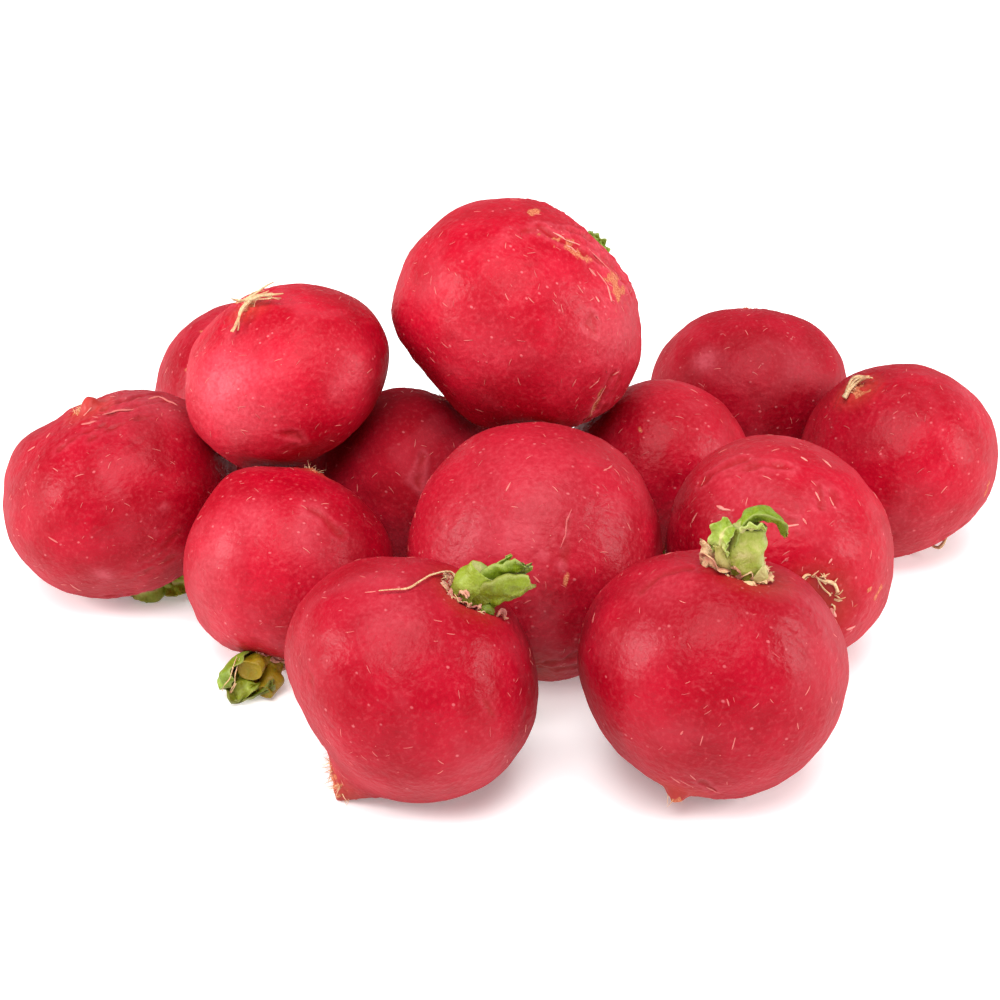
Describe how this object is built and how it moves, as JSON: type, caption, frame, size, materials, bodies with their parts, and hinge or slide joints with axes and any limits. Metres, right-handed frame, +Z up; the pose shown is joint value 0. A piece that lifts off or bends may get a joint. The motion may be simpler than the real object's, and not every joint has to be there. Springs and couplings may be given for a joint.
{
  "type": "bunch of radishes",
  "caption": "Loose heap of trimmed round red radishes with short cut leaf stalks, dry crown collars and trimmed tails, lying as one bunch.",
  "frame": {"origin": "on the surface that the heap lies on, under the middle of its box", "axes": "+Z up, +X along the long side of the heap to the right, -Y the front"},
  "size_m": [0.1646, 0.1334, 0.0646],
  "materials": {
    "radish_skin": "smooth waxy crimson skin with pale scratches and tan scuffs",
    "leaf_stalk": "moist pale green cut stalk, torn and folded at the tips",
    "dry_scale": "dry papery tan scale and root fibre"
  },
  "bodies": {
    "root": {"far_left_root": "radish_skin", "back_left_root": "radish_skin", "upper_left_root": "radish_skin", "mid_left_root": "radish_skin", "top_root": "radish_skin", "near_left_root": "radish_skin", "front_left_root": "radish_skin", "centre_root": "radish_skin", "mid_right_root": "radish_skin", "back_right_root": "radish_skin", "far_right_root": "radish_skin", "near_right_root": "radish_skin", "front_right_root": "radish_skin", "far_left_stub": "leaf_stalk", "back_left_stub": "leaf_stalk", "upper_left_stub": "leaf_stalk", "mid_left_stub": "leaf_stalk", "top_stub": "leaf_stalk", "near_left_stub": "leaf_stalk", "front_left_stub": "leaf_stalk", "centre_stub": "leaf_stalk", "mid_right_stub": "leaf_stalk", "back_right_stub": "leaf_stalk", "front_right_stub": "leaf_stalk", "top_collar": "dry_scale", "near_left_collar": "dry_scale", "front_left_collar": "dry_scale", "near_right_collar": "dry_scale", "front_right_collar": "dry_scale", "upper_left_tail_fibres": "dry_scale", "far_right_tail_fibres": "dry_scale", "far_right_crown_thread": "dry_scale"}
  },
  "joints": []
}
